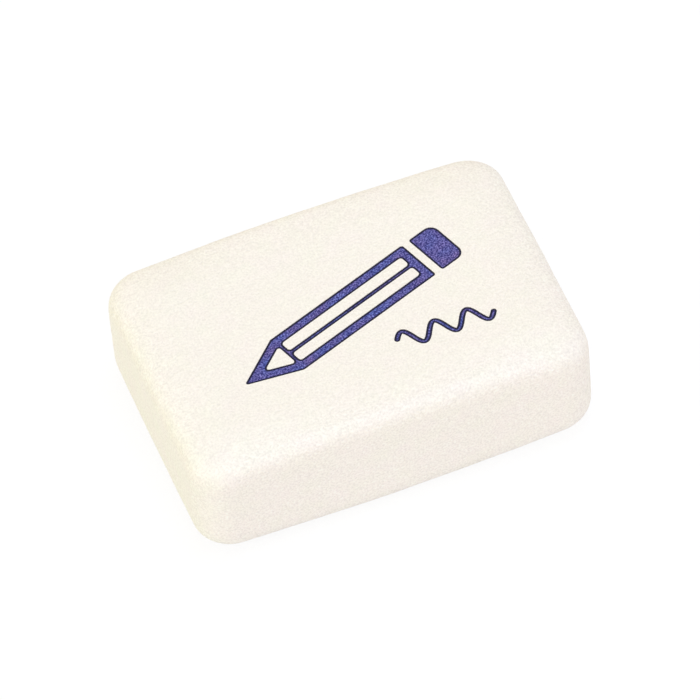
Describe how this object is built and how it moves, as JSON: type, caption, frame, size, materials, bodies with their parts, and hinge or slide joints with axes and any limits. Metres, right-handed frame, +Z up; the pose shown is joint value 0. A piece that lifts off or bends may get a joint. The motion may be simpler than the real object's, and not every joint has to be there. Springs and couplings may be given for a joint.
{
  "type": "rubber eraser",
  "caption": "Cream-white rectangular rubber eraser with rounded corners, softly rolled edges and a small blue print on its top face.",
  "frame": {"origin": "middle of the underside, on the surface that the eraser lies on", "axes": "+X along the eraser's length, +Y across its width, +Z up through its thickness to the printed face"},
  "size_m": [0.041, 0.028, 0.013],
  "materials": {
    "white_rubber": "matt, fine-grained moulded and tumbled rubber",
    "blue_ink": "matt printing ink, slightly mottled"
  },
  "bodies": {
    "root": {"eraser_block": "white_rubber", "ink_print": "blue_ink"}
  },
  "joints": []
}
